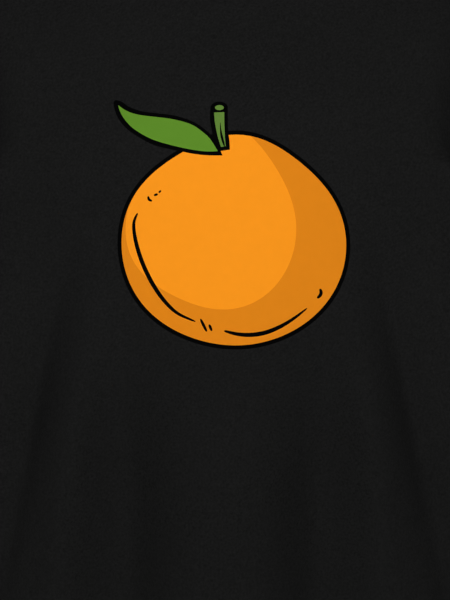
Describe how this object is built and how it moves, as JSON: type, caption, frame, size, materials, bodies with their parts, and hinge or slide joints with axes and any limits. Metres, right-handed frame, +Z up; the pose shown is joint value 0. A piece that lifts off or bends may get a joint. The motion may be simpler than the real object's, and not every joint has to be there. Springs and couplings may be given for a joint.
{
  "type": "t-shirt",
  "caption": "Black crew-neck T-shirt in its worn shape, open at neck, sleeves and hem, with a flat cartoon orange printed on the chest.",
  "frame": {"origin": "middle of the neck opening, at the height where the shoulder seams meet the neck", "axes": "+Z up, the front faces -Y, the wearer's left is +X"},
  "size_m": [0.6834, 0.2408, 0.7289],
  "materials": {
    "black_jersey": "matte single-jersey knit",
    "black_rib_knit": "matte 1x1 rib knit",
    "black_neck_tape": "matte jersey tape",
    "orange_ink": "screen-print ink film",
    "dark_orange_ink": "screen-print ink film",
    "black_ink": "screen-print ink film",
    "leaf_green_ink": "screen-print ink film",
    "stem_green_ink": "screen-print ink film"
  },
  "bodies": {
    "root": {"front_panel": "black_jersey", "back_panel": "black_jersey", "left_sleeve": "black_jersey", "right_sleeve": "black_jersey", "neck_rib": "black_rib_knit", "neck_tape": "black_neck_tape", "ink_orange": "orange_ink", "ink_dark_orange": "dark_orange_ink", "ink_black": "black_ink", "ink_leaf_green": "leaf_green_ink", "ink_stem_green": "stem_green_ink"}
  },
  "joints": []
}
